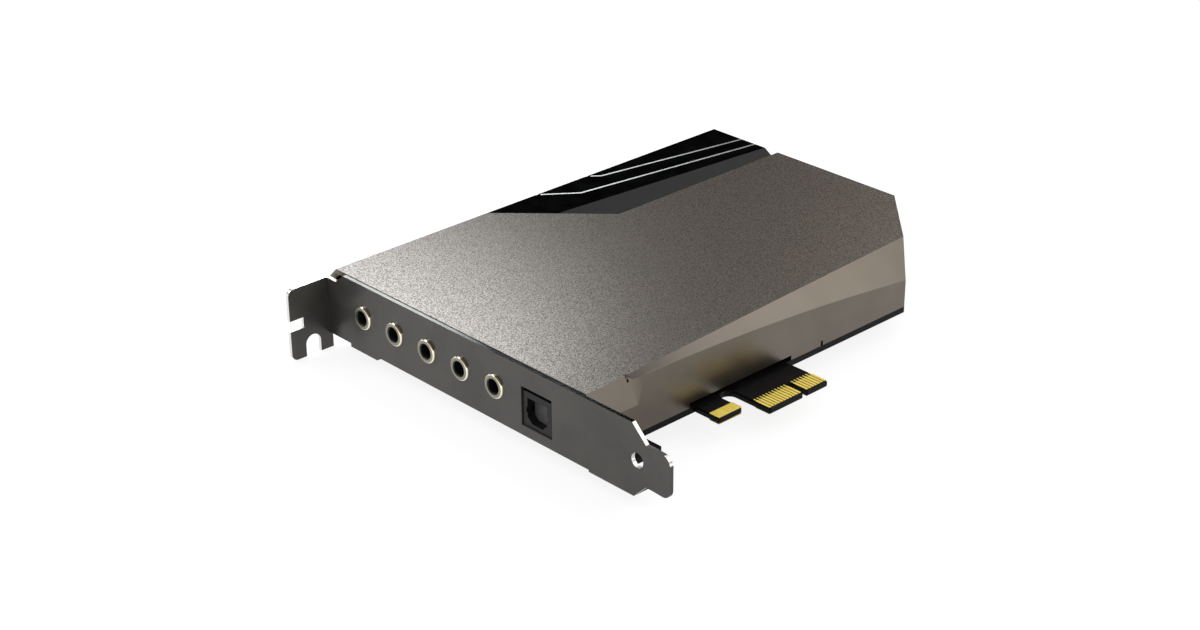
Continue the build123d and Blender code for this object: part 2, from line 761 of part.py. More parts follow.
# Optical port: moulded housing with a keyed mouth and a cavity where the shutter swings
cavity_width = port_width - 2 * port_side
cavity_top = port_height - port_roof
shutter_front = port_x + port_front_wall + shutter_clearance
shutter_low = port_floor + shutter_clearance
axis_x = shutter_front + knuckle_radius
axis_z = cavity_top - shutter_headroom - knuckle_radius
shutter_width = cavity_width - 2 * shutter_clearance
trunnion_end = cavity_width / 2 + trunnion_seat
with BuildPart() as optical_housing:
    with BuildSketch(Plane.YZ.offset(port_x)):
        with Locations((port_y, port_height / 2)):
            Rectangle(port_width, port_height)
    extrude(amount=port_depth)
    with BuildSketch(Plane.YZ.offset(port_x)) as mouth:
        with Locations((port_y, mouth_low + mouth_height / 2)):
            Rectangle(mouth_width, mouth_height)
        chamfer(mouth.vertices().group_by(Axis.Y)[0], mouth_chamfer)
        with Locations((port_y, mouth_low + mouth_height / 2)):
            Rectangle(mouth_width + 2 * mouth_key_depth, mouth_key_height)
    extrude(amount=port_front_wall, mode=Mode.SUBTRACT)
    with BuildSketch(Plane.YZ.offset(port_x + port_front_wall)):
        with Locations((port_y, (port_floor + cavity_top) / 2)):
            Rectangle(cavity_width, cavity_top - port_floor)
    extrude(amount=port_depth, mode=Mode.SUBTRACT)
    with BuildSketch(Plane.XZ.offset(-port_y)):
        with Locations((axis_x, axis_z)):
            Circle(trunnion_radius + trunnion_clearance)
    extrude(amount=trunnion_end + trunnion_clearance * 2, both=True, mode=Mode.SUBTRACT)
optical_housing.part.label = "optical_housing"
export_step(optical_housing.part, "parts/optical_housing.step")

# Shutter: a flap hung from moulded trunnions, with a thin core beside the spring
spring_coil = spring_turns * spring_wire
knuckle_end = shutter_width / 2 - spring_coil - 2 * trunnion_clearance
with BuildPart() as optical_shutter:
    with BuildSketch(Plane.YZ.offset(shutter_front)):
        with Locations((port_y, shutter_low)):
            Rectangle(
                shutter_width,
                axis_z - knuckle_radius - trunnion_clearance - spring_wire - shutter_low,
                align=(Align.CENTER, Align.MIN),
            )
        with Locations((port_y - shutter_width / 2, shutter_low)):
            Rectangle(
                knuckle_end + shutter_width / 2,
                axis_z - shutter_low,
                align=(Align.MIN, Align.MIN),
            )
    extrude(amount=shutter_thickness)
    with BuildSketch(Plane.XZ.offset(-port_y + shutter_width / 2)):
        with Locations((axis_x, axis_z)):
            Circle(knuckle_radius)
    extrude(amount=-knuckle_end - shutter_width / 2)
    with BuildSketch(Plane.XZ.offset(-port_y)):
        with Locations((axis_x, axis_z)):
            Circle(spring_core_radius)
    extrude(amount=-shutter_width / 2)
    for side in (-1, 1):
        with BuildSketch(Plane.XZ.offset(-port_y - side * shutter_width / 2)):
            with Locations((axis_x, axis_z)):
                Circle(trunnion_radius)
        extrude(amount=-side * (trunnion_end - shutter_width / 2))
optical_shutter.part.label = "optical_shutter"
export_step(optical_shutter.part, "parts/optical_shutter.step")

# Shutter spring: close-wound turns on the thin core, with the leg that presses on the flap
coil_inner = spring_core_radius + trunnion_clearance
coil_start = port_y + knuckle_end + trunnion_clearance
coil_axis = Axis((axis_x, port_y, axis_z), (0, 1, 0))
with BuildPart() as shutter_spring:
    with BuildSketch(Plane.XY.offset(axis_z)):
        for turn in range(spring_turns):
            with Locations((axis_x + coil_inner + spring_wire / 2, coil_start + (turn + 0.5) * spring_wire)):
                RegularPolygon(spring_wire / 2, wire_sides, major_radius=False)
    revolve(axis=coil_axis)
    leg_x = shutter_front + shutter_thickness + spring_wire / 2
    with BuildSketch(Plane.XY.offset(axis_z - spring_leg)):
        with Locations((leg_x, coil_start + spring_wire / 2)):
            Rectangle(spring_wire, spring_wire)
    extrude(amount=spring_leg - coil_inner - spring_wire / 2)
shutter_spring.part.label = "shutter_spring"
export_step(shutter_spring.part, "parts/shutter_spring.step")

# Transmitter: the light source that closes the housing's back, with its round lens
transmitter_x = port_x + port_front_wall + cavity_depth
with BuildPart() as optical_transmitter:
    with BuildSketch(Plane.YZ.offset(transmitter_x)):
        with Locations((port_y, (port_floor + cavity_top) / 2)):
            Rectangle(cavity_width, cavity_top - port_floor)
    extrude(amount=port_x + port_depth - transmitter_x)
    with BuildSketch(Plane.YZ.offset(transmitter_x)):
        with Locations((port_y, mouth_low + mouth_height / 2)):
            Circle(transmitter_lens_radius)
    extrude(amount=-transmitter_lens_length)
optical_transmitter.part.label = "optical_transmitter"
export_step(optical_transmitter.part, "parts/optical_transmitter.step")


# Rows and columns of the parts on the board, each set off from the one before it
jack_back = inner_x + jack_depth
relay_x = jack_back + part_gap + relay_size[0] / 2
relay_spots = [(relay_x, jack_places[index]) for index in range(relay_count)]
op_amp_x = relay_x + relay_size[0] / 2 + part_gap + op_amp_span / 2
op_amp_spots = [
    (op_amp_x + column * (op_amp_span + part_gap), jack_places[row])
    for column in range(op_amp_columns)
    for row in range(op_amp_rows)
]
film_x = op_amp_x + (op_amp_columns - 0.5) * (op_amp_span + part_gap) + part_gap + film_size[0] / 2
film_pitch = film_size[1] + 2 * part_gap
film_spots = [
    (film_x + column * (film_size[0] + part_gap), jack_places[1] - row * film_pitch)
    for column in range(film_columns)
    for row in range(film_rows)
]
can_pitch = 2 * can_radius + part_gap
can_row_top = jack_places[op_amp_rows - 1] - op_amp_body[1] / 2 - part_gap - can_radius
can_x = relay_x + headphone_size / 2 + part_gap + can_radius
headphone_spots = [(relay_x, can_row_top - row * can_pitch) for row in range(can_rows)]
can_spots = [
    (can_x + column * can_pitch, can_row_top - row * can_pitch)
    for column in range(can_columns)
    for row in range(can_rows)
]
memory_x = -processor_size / 2 - 2 * part_gap - memory_size[0] / 2
crystal_x = memory_x - memory_size[0] / 2 - part_gap - crystal_size[0] / 2
input_x = crystal_x - crystal_size[0] / 2 - part_gap - input_converter_size[0] / 2
power_x = can_x + (can_columns - 0.5) * can_pitch + part_gap + regulator_body[0] / 2
regulator_pitch = regulator_body[1] + regulator_tab[1] + part_gap
regulator_spots = [(power_x, processor_from_edge + row * regulator_pitch) for row in range(regulator_count)]
inductor_pitch = inductor_size + 2 * part_gap
inductor_x = power_x + regulator_body[0] / 2 + part_gap + inductor_size / 2
inductor_y = processor_from_edge + inductor_pitch
inductor_spots = [
    (inductor_x + column * inductor_pitch, inductor_y + row * inductor_pitch)
    for column in range(inductor_columns)
    for row in range(inductor_rows)
]
tall_can_y = inductor_y + inductor_rows * inductor_pitch
tall_can_spots = [
    (inductor_x + index * (2 * tall_can_radius + part_gap), tall_can_y) for index in range(tall_can_count)
]
converter_spot = (film_x + film_columns * (film_size[0] + part_gap) + part_gap, jack_places[2])


# Plain block parts: a box on the board at each spot, with its top edges eased
block_groups = {
    "output_relays": (relay_spots, relay_size, film_edge),
    "film_capacitors": (film_spots, film_size, film_edge),
    "headphone_amplifiers": (
        headphone_spots,
        (headphone_size, headphone_size, headphone_height),
        chip_edge,
    ),
    "audio_processor": (
        [(0, processor_from_edge)],
        (processor_size, processor_size, processor_height),
        chip_edge,
    ),
    "output_converter": (
        [converter_spot],
        (converter_size, converter_size, converter_height),
        chip_edge,
    ),
    "input_converter": ([(input_x, processor_from_edge)], input_converter_size, chip_edge),
    "flash_memory": ([(memory_x, processor_from_edge)], memory_size, chip_edge),
    "clock_crystals": (
        [(crystal_x, processor_from_edge), (converter_spot[0], converter_spot[1] - converter_size)],
        crystal_size,
        chip_edge,
    ),
}
for group_name, (spots, size, edge) in block_groups.items():
    with BuildPart() as block_group:
        with BuildSketch():
            with Locations(*spots):
                Rectangle(size[0], size[1])
        extrude(amount=size[2])
        chamfer(block_group.faces().filter_by(Axis.Z).group_by(Axis.Z)[-1].edges(), edge)
    block_group.part.label = group_name
    export_step(block_group.part, f"parts/{group_name}.step")

# Operational amplifiers: small moulded bodies on bent leads, four to a side
with BuildPart() as op_amps:
    lead_offsets = [(index - (op_amp_leads - 1) / 2) * lead_pitch for index in range(op_amp_leads)]
    with BuildSketch(Plane.XY.offset(standoff)):
        with Locations(*op_amp_spots):
            Rectangle(op_amp_body[0], op_amp_body[1])
    extrude(amount=op_amp_body[2] - standoff)
    lead_spots = [(x, y + shift) for x, y in op_amp_spots for shift in lead_offsets]
    with BuildSketch():
        with Locations(*lead_spots):
            Rectangle(op_amp_span, lead_width)
    extrude(amount=standoff + lead_thickness)
op_amps.part.label = "op_amps"
export_step(op_amps.part, "parts/op_amps.step")

# Electrolytic capacitors: round cans with a rolled top edge, in two sizes
for group_name, spots, radius, height in (
    ("signal_capacitors", can_spots, can_radius, can_height),
    ("power_capacitors", tall_can_spots, tall_can_radius, tall_can_height),
):
    with BuildPart() as capacitor_cans:
        with BuildSketch():
            with Locations(*spots):
                Circle(radius)
        extrude(amount=height)
        chamfer(capacitor_cans.faces().group_by(Axis.Z)[-1].edges(), can_round)
    capacitor_cans.part.label = group_name
    export_step(capacitor_cans.part, f"parts/{group_name}.step")

# Voltage regulators: a body with a wide metal tab soldered to the board
with BuildPart() as voltage_regulators:
    with BuildSketch():
        with Locations(*regulator_spots):
            Rectangle(regulator_body[0], regulator_body[1])
    extrude(amount=regulator_body[2])
    chamfer(voltage_regulators.faces().group_by(Axis.Z)[-1].edges(), film_edge)
    with BuildSketch():
        with Locations(*[(x, y + regulator_body[1] / 2) for x, y in regulator_spots]):
            Rectangle(regulator_tab[0], regulator_tab[1], align=(Align.CENTER, Align.MIN))
    extrude(amount=regulator_tab[2])
voltage_regulators.part.label = "voltage_regulators"
export_step(voltage_regulators.part, "parts/voltage_regulators.step")

# Inductors: square shielded blocks with cut corners
with BuildPart() as inductors:
    with BuildSketch() as inductor_plan:
        with Locations(*inductor_spots):
            Rectangle(inductor_size, inductor_size)
        chamfer(inductor_plan.vertices(), inductor_corner)
    extrude(amount=inductor_height)
inductors.part.label = "inductors"
export_step(inductors.part, "parts/inductors.step")

# Chip resistors beside the amplifiers, and chip capacitors around the processor and converter
resistor_spots = [
    (x + side * op_amp_body[0] / 2, y - jack_pitch / 2)
    for x, y in op_amp_spots
    for side in (-1, 1)
    if y > jack_places[op_amp_rows - 1]
]
chip_shifts = [(index - (chip_row_count - 1) / 2) * chip_row_pitch for index in range(chip_row_count)]
beside_processor = processor_size / 2 + part_gap
above_converter = converter_spot[1] + converter_size / 2 + part_gap
capacitor_spots = [
    (side * beside_processor, processor_from_edge + shift) for side in (-1, 1) for shift in chip_shifts
]
capacitor_spots += [(converter_spot[0] + shift, above_converter) for shift in chip_shifts]
for group_name, spots, height in (
    ("chip_resistors", resistor_spots, chip_size[2]),
    ("chip_capacitors", capacitor_spots, chip_capacitor_height),
):
    with BuildPart() as chips:
        with BuildSketch():
            with Locations(*spots):
                Rectangle(chip_size[0], chip_size[1])
        extrude(amount=height)
    chips.part.label = group_name
    export_step(chips.part, f"parts/{group_name}.step")

# Light-emitting diodes under the insert, below the two guides
with BuildPart() as light_diodes:
    diode_spots = []
    for index in range(len(guide_starts)):
        turn_x = face_x + insert_start + guide_starts[index] + guide_runs[index]
        turn_y = tab_y - guide_turns[index]
        for share in diode_shares:
            diode_spots.append(
                (
                    turn_x + share * (far_x - turn_x),
                    turn_y + share * (tab_y - guide_ends[index] - turn_y),
                )
            )
    with BuildSketch():
        with Locations(*diode_spots):
            Rectangle(diode_size[0], diode_size[1])
    extrude(amount=diode_size[2])
light_diodes.part.label = "light_diodes"
export_step(light_diodes.part, "parts/light_diodes.step")

# Solder joints of the through-hole parts, on the face away from the parts
joint_spots = []
for jack_y in jack_places:
    for along in joint_rows:
        for side in (-1, 1):
            joint_spots.append((inner_x + along, jack_y + side * jack_lead_spread / 2))
for spots, spread in (
    (film_spots, film_lead_spread),
    (can_spots, can_lead_spread),
    (tall_can_spots, tall_can_lead_spread),
):
    for x, y in spots:
        joint_spots += [(x - spread / 2, y), (x + spread / 2, y)]
for x, y in relay_spots:
    for along in (-1, 1):
        for across in (-1, 0, 1):
            joint_spots.append((x + along * relay_lead_spread[0] / 2, y + across * relay_lead_spread[1]))
for index in range(port_lead_count):
    across = (index - (port_lead_count - 1) / 2) * port_lead_pitch
    joint_spots.append((port_x + port_joint_row, port_y + across))
with BuildPart() as solder_cone:
    with BuildSketch(Plane.XY.offset(solder_z)):
        RegularPolygon(joint_radius, joint_sides)
    with BuildSketch(Plane.XY.offset(solder_z - joint_height)):
        RegularPolygon(joint_tip_radius, joint_sides)
    loft(ruled=True)
with BuildPart() as solder_joints:
    with Locations(*joint_spots):
        add(solder_cone.part)
solder_joints.part.label = "solder_joints"
export_step(solder_joints.part, "parts/solder_joints.step")
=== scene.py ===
import json
from math import cos, pi, radians, sin

import bpy
from mathutils import Matrix, Vector

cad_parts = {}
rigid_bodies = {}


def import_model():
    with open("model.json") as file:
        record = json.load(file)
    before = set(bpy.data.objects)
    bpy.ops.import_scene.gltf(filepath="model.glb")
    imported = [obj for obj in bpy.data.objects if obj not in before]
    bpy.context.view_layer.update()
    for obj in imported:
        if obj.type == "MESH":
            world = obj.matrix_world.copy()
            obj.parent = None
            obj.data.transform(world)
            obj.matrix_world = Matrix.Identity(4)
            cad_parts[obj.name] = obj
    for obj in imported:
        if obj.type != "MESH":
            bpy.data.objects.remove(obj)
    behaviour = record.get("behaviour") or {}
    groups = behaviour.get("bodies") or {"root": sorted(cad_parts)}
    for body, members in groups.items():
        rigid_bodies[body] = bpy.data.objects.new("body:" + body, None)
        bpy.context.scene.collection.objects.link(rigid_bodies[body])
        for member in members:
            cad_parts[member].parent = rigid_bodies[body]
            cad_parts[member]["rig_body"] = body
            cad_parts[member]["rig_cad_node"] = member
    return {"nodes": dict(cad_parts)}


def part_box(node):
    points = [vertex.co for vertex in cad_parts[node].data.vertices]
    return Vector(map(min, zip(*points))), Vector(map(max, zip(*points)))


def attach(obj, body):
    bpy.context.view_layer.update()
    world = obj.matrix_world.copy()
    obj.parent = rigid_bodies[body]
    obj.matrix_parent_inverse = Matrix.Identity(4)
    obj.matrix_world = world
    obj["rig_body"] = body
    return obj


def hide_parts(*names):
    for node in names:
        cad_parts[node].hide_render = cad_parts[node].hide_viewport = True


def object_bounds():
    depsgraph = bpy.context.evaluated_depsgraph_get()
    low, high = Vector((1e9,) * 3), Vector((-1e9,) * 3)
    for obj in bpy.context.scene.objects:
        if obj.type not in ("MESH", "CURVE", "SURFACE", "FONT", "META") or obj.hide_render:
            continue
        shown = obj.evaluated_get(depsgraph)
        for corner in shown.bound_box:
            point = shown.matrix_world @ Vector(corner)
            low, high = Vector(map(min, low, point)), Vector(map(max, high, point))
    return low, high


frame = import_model()
cad_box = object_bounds()


# Bracket
# One folded steel sheet, punched for the jacks and the port and plated in satin black nickel. The
# tab's rim, the small hole and the upper long edge were cut after the plating, so they show bare
# steel. Bare steel on the upper taper and the other plate edges that lean up and towards the
# contacts is a painted highlight.
nodes = frame["nodes"]
mm = 0.001


def linear(hex_colour):
    channels = [int(hex_colour[place : place + 2], 16) / 255 for place in (0, 2, 4)]
    return [c / 12.92 if c <= 0.04045 else ((c + 0.055) / 1.055) ** 2.4 for c in channels] + [1]


def add_node(tree, kind, inputs=None, **settings):
    node = tree.nodes.new(kind)
    for name, value in settings.items():
        setattr(node, name, value)
    for name, value in (inputs or {}).items():
        if isinstance(value, bpy.types.NodeSocket):
            tree.links.new(value, node.inputs[name])
        else:
            node.inputs[name].default_value = value
    return node


# A finish has patches of two colours, each patch a little smoother or rougher, and fine grit, given
# by its width and depth. The patches' borders, stretch and detail may be set, and any other setting
# goes to the shader's socket of that name.
def make_finish(name, dark, light, patch_mm, smooth, rough, metallic=0.0, **extra):
    material = bpy.data.materials.new(name)
    material.use_nodes = True
    tree = material.node_tree
    shader = tree.nodes["Principled BSDF"]
    shader.inputs["Metallic"].default_value = metallic
    grit_mm, grit_depth_mm = extra.pop("grit", (0, 0))
    patch_edges = extra.pop("patch_edges", (0.35, 0.65))
    stretch = extra.pop("stretch", (1, 1, 1))
    detail = extra.pop("detail", 3.0)
    for socket, value in extra.items():
        shader.inputs[socket.replace("_", " ")].default_value = value
    place = add_node(tree, "ShaderNodeTexCoord").outputs["Object"]
    laid = add_node(tree, "ShaderNodeMapping", {"Vector": place, "Scale": stretch})
    patches = add_node(
        tree,
        "ShaderNodeTexNoise",
        {"Vector": laid.outputs["Vector"], "Scale": 1 / (patch_mm * mm), "Detail": detail},
    )
    tint = add_node(tree, "ShaderNodeValToRGB", {"Fac": patches.outputs["Fac"]})
    for stop, edge, colour in zip(tint.color_ramp.elements, patch_edges, (dark, light)):
        stop.position = edge
        stop.color = linear(colour)
    polish = add_node(
        tree,
        "ShaderNodeMapRange",
        {
            "Value": patches.outputs["Fac"],
            "From Min": patch_edges[0],
            "From Max": patch_edges[1],
            "To Min": smooth,
            "To Max": rough,
        },
    )
    tree.links.new(tint.outputs["Color"], shader.inputs["Base Color"])
    tree.links.new(polish.outputs["Result"], shader.inputs["Roughness"])
    if grit_mm:
        grit = add_node(tree, "ShaderNodeTexNoise", {"Vector": place, "Scale": 1 / (grit_mm * mm)})
        relief = add_node(
            tree,
            "ShaderNodeBump",
            {"Height": grit.outputs["Fac"], "Distance": grit_depth_mm * mm},
        )
        tree.links.new(relief.outputs["Normal"], shader.inputs["Normal"])
    return material


weld = 0.002 * mm


# A copy of a CAD node, with doubled points welded and the triangles of each flat face joined
def merged_copy(node_name, piece_name, flat_degrees=0.5):
    bpy.ops.object.select_all(action="DESELECT")
    piece = nodes[node_name].copy()
    piece.data = nodes[node_name].data.copy()
    piece.name = piece_name
    piece.parent = None
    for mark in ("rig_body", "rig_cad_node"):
        del piece[mark]
    bpy.context.collection.objects.link(piece)
    piece.select_set(True)
    bpy.context.view_layer.objects.active = piece
    piece.data.materials.clear()
    bpy.ops.object.mode_set(mode="EDIT")
    bpy.ops.mesh.select_all(action="SELECT")
    bpy.ops.mesh.remove_doubles(threshold=weld)
    bpy.ops.mesh.dissolve_limited(angle_limit=radians(flat_degrees))
    bpy.ops.object.mode_set(mode="OBJECT")
    bpy.ops.object.shade_smooth()
    return piece


# Flat faces keep flat normals, and only the small round ones between them blend
def keep_flats(piece):
    flats = piece.modifiers.new("flats", "WEIGHTED_NORMAL")
    flats.weight = 100
    flats.keep_sharp = True
    bpy.ops.object.modifier_apply(modifier=flats.name)


# Black nickel is half clouded by its etch, so it keeps a little grey where it mirrors the dark. The
# etch is finer than it is drawn here, so that it shows.
black_nickel = make_finish(
    "satin_black_nickel_plate",
    "4B4946",
    "55534F",
    patch_mm=9.0,
    smooth=0.28,
    rough=0.36,
    metallic=0.35,
    grit=(0.25, 0.004),
)

# Sheared steel has fine lines that scatter the light, so it looks white. On plate edges that lean up
# and towards the contacts it stands as a painted highlight.
bare_steel_and_highlight = make_finish(
    "bare_steel_painted_highlight", "DEDBD6", "F4F2EE", patch_mm=0.3, smooth=0.26, rough=0.36, metallic=1.0
)

# The fold's inner faces get a darker, matt copy of the plating as painted shade in the crease, so no
# line of light runs down the corner
fold_shade_nickel = make_finish(
    "black_nickel_painted_fold_shade", "383633", "403E3B", patch_mm=2.0, smooth=0.7, rough=0.8, Specular_IOR_Level=0.1
)

# The blade burnished the upper long edge by the tongue, where it mirrors the dark room, and left it
# duller and brighter by the tab
edge_steel = make_finish(
    "burnished_sheared_steel", "86817A", "928D85", patch_mm=4.0, smooth=0.1, rough=0.36, metallic=1.0
)
burnished_y, dull_y = 43 * mm, 78 * mm
tree = edge_steel.node_tree
place = add_node(tree, "ShaderNodeTexCoord").outputs["Object"]
along = add_node(tree, "ShaderNodeSeparateXYZ", {"Vector": place})
burnish = tree.nodes["Principled BSDF"].inputs["Roughness"].links[0].from_node
tree.links.new(along.outputs["Y"], burnish.inputs["Value"])
burnish.inputs["From Min"].default_value = burnished_y
burnish.inputs["From Max"].default_value = dull_y

bracket = merged_copy("bracket", "bracket_sheet")
for finish in (black_nickel, bare_steel_and_highlight, fold_shade_nickel, edge_steel):
    bracket.data.materials.append(finish)
bare_and_highlight_slot, fold_slot, edge_slot = 1, 2, 3
plate_low, plate_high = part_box("bracket")
sheet = 1.0 * mm
fold = 0.2 * mm
ferrule_proud = 0.7 * mm
tab_under = plate_high.y - sheet - fold
plate_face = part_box("jack_ferrule_1")[0].x + ferrule_proud
hole_y = plate_high.y - 109.5 * mm
hole_room = 1.9 * mm

# Faces get their finish by where they lie and how far their normals lean
leaning, across, level = 0.2, 0.3, 0.9
for face in bracket.data.polygons:
    middle, facing = face.center, face.normal
    on_tab = middle.y > tab_under and middle.x < plate_face and abs(facing.y) < across
    on_edge = plate_face < middle.x < plate_face + sheet and abs(facing.x) < across
    # Plate edges that lean up and towards the contacts get bare steel as a painted highlight
    slanted = facing.z > leaning and facing.y < -leaning
    inside_rim = plate_low.z + sheet < middle.z < plate_high.z - sheet
    by_hole = inside_rim and abs(middle.y - hole_y) < hole_room
    in_fold = middle.y > tab_under - fold and facing.x < -leaning and facing.y < -leaning
    on_top = facing.z > level and middle.z > plate_high.z - sheet
    # The fold's faces take the painted shade
    if in_fold:
        face.material_index = fold_slot
    elif on_tab or (on_edge and (slanted or by_hole)):
        face.material_index = bare_and_highlight_slot
    elif on_edge and on_top:
        face.material_index = edge_slot
bracket_crease = 15
bpy.ops.object.shade_smooth_by_angle(angle=radians(bracket_crease))
keep_flats(bracket)
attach(bracket, "card")
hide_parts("bracket")


# Circuit board
# Glass-fibre laminate under black solder mask, dark and half shiny. The copper lines show only as
# low ridges in the mask, some along the card and some across it.
solder_mask = make_finish(
    "black_solder_mask", "09090B", "111114", patch_mm=6.0, smooth=0.36, rough=0.44, Specular_IOR_Level=0.1
)
line_gap_mm, line_rise_mm, line_strength = 0.12, 0.03, 0.7
region_mm, share_along = 17, 0.5
along_card = {"turn": 0, "run_mm": 23, "pitch_mm": 0.9, "shift": 0.37, "shift_rows": 2}
across_card = {"turn": 90, "run_mm": 31, "pitch_mm": 1.3, "shift": 0.21, "shift_rows": 3}
tree = solder_mask.node_tree
place = add_node(tree, "ShaderNodeTexCoord").outputs["Object"]
ridges = []
for lines in (along_card, across_card):
    turned_place = add_node(
        tree,
        "ShaderNodeMapping",
        {"Vector": place, "Rotation": (0, 0, radians(lines["turn"]))},
    )
    bricks = add_node(
        tree,
        "ShaderNodeTexBrick",
        {
            "Vector": turned_place.outputs["Vector"],
            "Scale": 1.0,
            "Mortar Size": line_gap_mm * mm,
            "Brick Width": lines["run_mm"] * mm,
            "Row Height": lines["pitch_mm"] * mm,
        },
        offset=lines["shift"],
        offset_frequency=lines["shift_rows"],
    )
    ridges.append(bricks.outputs["Fac"])
regions = add_node(
    tree,
    "ShaderNodeTexVoronoi",
    {"Vector": place, "Scale": 1 / (region_mm * mm)},
    distance="CHEBYCHEV",
)
region_number = add_node(tree, "ShaderNodeSeparateColor", {"Color": regions.outputs["Color"]})
which = add_node(
    tree,
    "ShaderNodeMath",
    {0: region_number.outputs["Red"], 1: share_along},
    operation="GREATER_THAN",
)
line_height = add_node(
    tree,
    "ShaderNodeMix",
    {"Factor": which.outputs["Value"], "A": ridges[0], "B": ridges[1]},
)
line_relief = add_node(
    tree,
    "ShaderNodeBump",
    {
        "Height": line_height.outputs["Result"],
        "Strength": line_strength,
        "Distance": line_rise_mm * mm,
    },
)
tree.links.new(line_relief.outputs["Normal"], tree.nodes["Principled BSDF"].inputs["Normal"])
nodes["circuit_board"].data.materials[0] = solder_mask


# Edge contacts
# Hard gold over nickel on the copper fingers, with a bare stretch of trace behind each one. The gold
# is mostly matt and made bright as a painted sheen, and faint rubbing marks run the way the card slides.
hard_gold_and_sheen = make_finish(
    "hard_gold_painted_sheen",
    "F6D355",
    "FFE872",
    patch_mm=0.3,
    smooth=0.28,
    rough=0.38,
    # Low metal share with a bright colour: the colour carries a painted sheen
    metallic=0.2,
    stretch=(1, 0.06, 1),
)
nodes["edge_contacts"].data.materials[0] = hard_gold_and_sheen


# Cover
# One die-cast shell, open towards the bracket and down to the board. Its top is bead-blasted and
# lacquered gunmetal, and its side facets and walls are plain satin. The blasting's pits are drawn
# a few times as wide as they are, so that their sparkle shows.
blasted = make_finish(
    "bead_blasted_gunmetal",
    "67605A",
    "AFA499",
    patch_mm=0.34,
    smooth=0.46,
    rough=0.36,
    metallic=1.0,
    patch_edges=(0.38, 0.62),
    detail=1.0,
    grit=(0.45, 0.04),
)
satin = make_finish(
    "satin_gunmetal_lacquer",
    "6D665D",
    "756E65",
    patch_mm=14.0,
    smooth=0.3,
    rough=0.35,
    metallic=1.0,
    grit=(0.18, 0.002),
)


def ease_edges(piece, ease_mm, segments=2, sharp_degrees=30.0, limit="ANGLE"):
    ease = piece.modifiers.new("ease", "BEVEL")
    ease.width = ease_mm * mm
    ease.segments = segments
    ease.limit_method = limit
    ease.angle_limit = radians(sharp_degrees)
    ease.use_clamp_overlap = True
    bpy.ops.object.modifier_apply(modifier=ease.name)
    keep_flats(piece)


cover = merged_copy("cover", "cover_shell", flat_degrees=0.02)
cover.data.materials.append(satin)
cover.data.materials.append(blasted)
blasted_slot = 1
cover_low, cover_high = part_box("cover")
outward, steepest, flattest = -0.05, 0.35, 0.9985


# Selects the long facet's faces between two places along the card, and counts them
def select_facet(low_x, high_x):
    bpy.ops.object.mode_set(mode="OBJECT")
    chosen = 0
    for face in cover.data.polygons:
        leans = face.normal.y < outward and steepest < face.normal.z < flattest
        face.select = leans and low_x < face.center.x < high_x
        chosen += face.select
    for edge in cover.data.edges:
        edge.select = False
    bpy.ops.object.mode_set(mode="EDIT")
    bpy.ops.mesh.select_mode(type="FACE")
    return chosen


# The long facet is twisted, so it is cut across into even strips, each one a single clean face
strip_width = 2.5 * mm
cuts = int((cover_high.x - cover_low.x) / strip_width)
cut_places = [cover_low.x + strip_width * number for number in range(cuts + 1)] + [cover_high.x]
for cut_x in cut_places[1:-1]:
    if select_facet(cover_low.x, cover_high.x):
        bpy.ops.mesh.bisect(plane_co=(cut_x, 0, 0), plane_no=(1, 0, 0))
for low_x, high_x in zip(cut_places, cut_places[1:]):
    if select_facet(low_x, high_x) > 1:
        bpy.ops.mesh.dissolve_faces(use_verts=False)

# The wall's lip over the small facet's end is ground back to a slope, so the facet shows to its end
hair = 0.02 * mm
lip_end, lip_height = plate_face + 17.2 * mm, 0.4 * mm
ground_end, ground_drop = plate_face + 17.9 * mm, 0.34 * mm
bpy.ops.object.mode_set(mode="OBJECT")
for parts in (cover.data.vertices, cover.data.edges, cover.data.polygons):
    parts.foreach_set("select", [False] * len(parts))
lip = []
for corner in cover.data.vertices:
    high = corner.co.z > cover_high.z - lip_height
    if high and corner.co.x < lip_end and corner.co.y < cover_low.y + hair:
        corner.select = True
        lip.append(corner.co.copy())
ground = Vector((ground_end, cover_low.y, cover_high.z - ground_drop))
bpy.ops.object.mode_set(mode="EDIT")
bpy.ops.mesh.select_mode(type="VERT")
bpy.ops.mesh.merge(type="CENTER")
bpy.ops.transform.translate(value=ground - sum(lip, Vector()) / len(lip))

# The long facet's top edge and the small facet's borders stay crisp. The long facet's lower edge is
# rolled over by the bracket and gets sharper towards the far end. Other edges are barely broken.
slight, full = 4, 25
creases = {}
for degrees in (slight, full):
    bpy.ops.object.mode_set(mode="EDIT")
    bpy.ops.mesh.select_mode(type="EDGE")
    bpy.ops.mesh.select_all(action="DESELECT")
    bpy.ops.mesh.edges_select_sharp(sharpness=radians(degrees))
    bpy.ops.object.mode_set(mode="OBJECT")
    creases[degrees] = [edge.select for edge in cover.data.edges]
widest_ease, far_ease, plain_ease = 0.8, 0.25, 0.12
facet_near, facet_far, facet_drop = 2.0 * mm, 7.4 * mm, 8.4 * mm
small_facet_end, small_facet_depth = plate_face + 18.5 * mm, 2.0 * mm
roll_start = plate_face + 16.5 * mm
roll_length = cover_high.x - roll_start
ease_weights = cover.data.attributes.new("bevel_weight_edge", "FLOAT", "EDGE")
